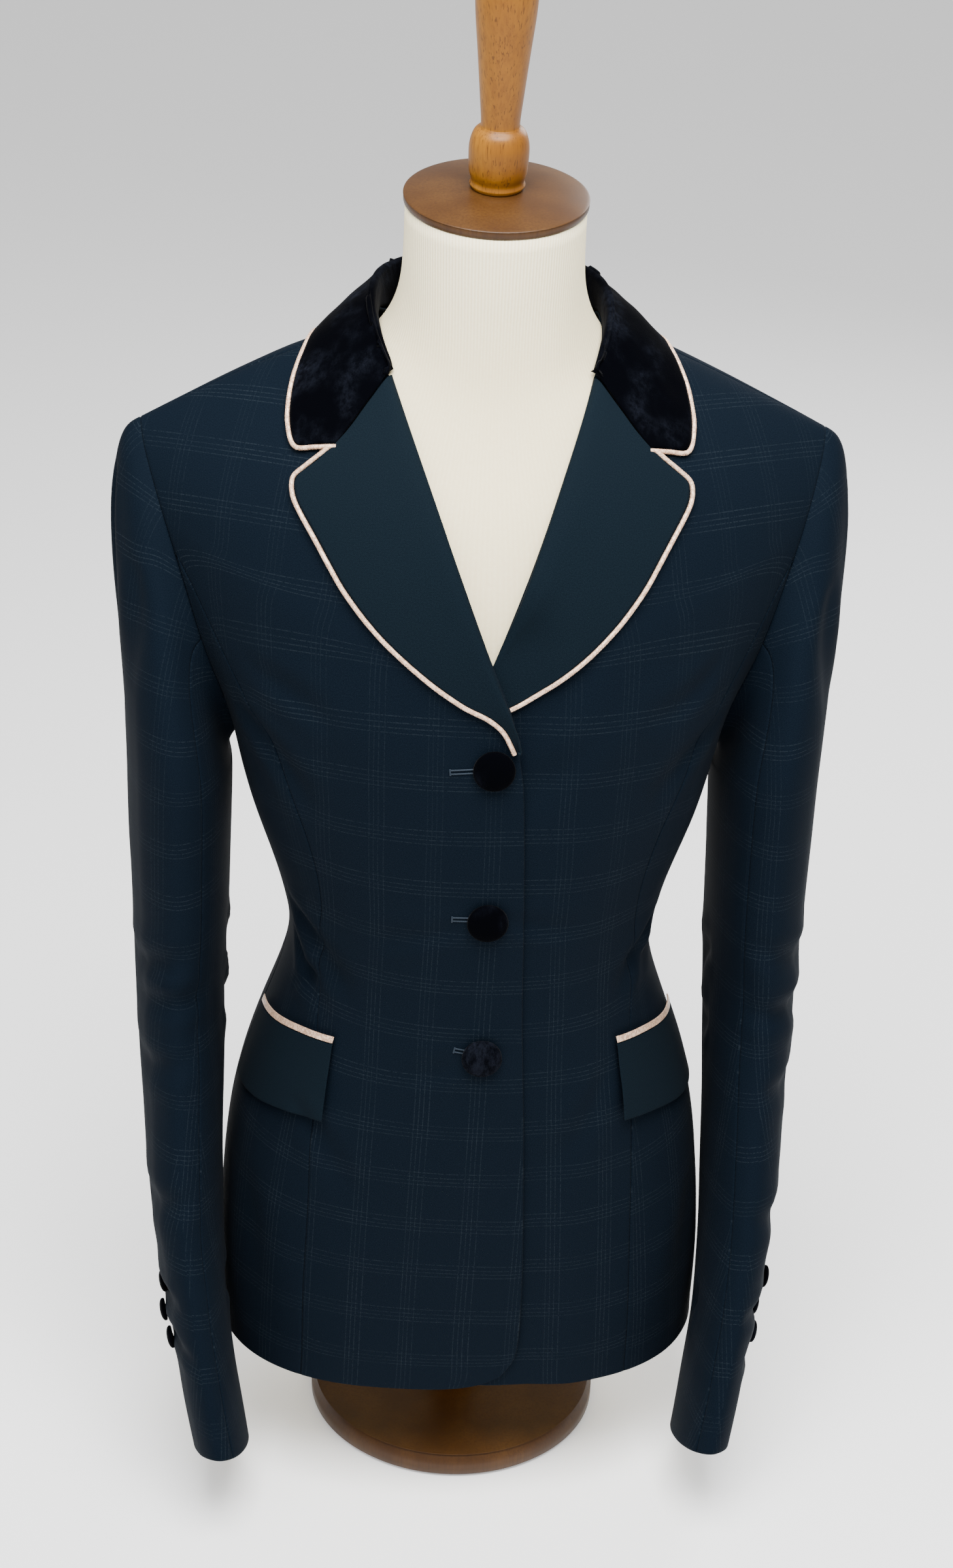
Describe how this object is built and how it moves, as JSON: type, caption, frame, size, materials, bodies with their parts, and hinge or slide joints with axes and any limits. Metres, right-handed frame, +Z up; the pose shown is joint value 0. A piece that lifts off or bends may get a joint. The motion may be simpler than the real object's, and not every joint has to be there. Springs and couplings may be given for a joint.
{
  "type": "equestrian show coat on a limbless dress form",
  "caption": "Fitted riding coat with a notched velvet collar, piped lapels and flap pockets, worn by a limbless dress form with a turned neck handle and a short stand.",
  "frame": {"origin": "on the floor, below the middle of the whole part's box", "axes": "+Z up, the coat faces -Y, the wearer's left is +X"},
  "size_m": [0.4496, 0.286, 0.9935],
  "materials": {
    "navy_wool": "fine worsted suiting, very dark navy with a faint tonal check",
    "black_velvet": "short black velvet with a soft sheen",
    "rose_champagne_leather": "rose champagne metallic leather, finely creased",
    "cream_jersey": "cream fine ribbed jersey",
    "honey_wood": "turned wood with a satin honey varnish"
  },
  "bodies": {
    "root": {"right_front": "navy_wool", "right_side_front": "navy_wool", "right_side_back": "navy_wool", "right_back": "navy_wool", "right_lapel": "navy_wool", "right_top_sleeve": "navy_wool", "right_under_sleeve": "navy_wool", "right_flap": "navy_wool", "right_lapel_piping": "rose_champagne_leather", "right_pocket_piping": "rose_champagne_leather", "right_cuff_button_1": "black_velvet", "right_cuff_button_2": "black_velvet", "right_cuff_button_3": "black_velvet", "left_front": "navy_wool", "left_side_front": "navy_wool", "left_side_back": "navy_wool", "left_back": "navy_wool", "left_lapel": "navy_wool", "left_top_sleeve": "navy_wool", "left_under_sleeve": "navy_wool", "left_flap": "navy_wool", "left_lapel_piping": "rose_champagne_leather", "left_pocket_piping": "rose_champagne_leather", "left_cuff_button_1": "black_velvet", "left_cuff_button_2": "black_velvet", "left_cuff_button_3": "black_velvet", "collar": "black_velvet", "collar_piping": "rose_champagne_leather", "front_button_1": "black_velvet", "front_button_2": "black_velvet", "front_button_3": "black_velvet", "form_torso": "cream_jersey", "neck_cap": "honey_wood", "neck_handle": "honey_wood", "stand_post": "honey_wood", "stand_base": "honey_wood"}
  },
  "joints": []
}
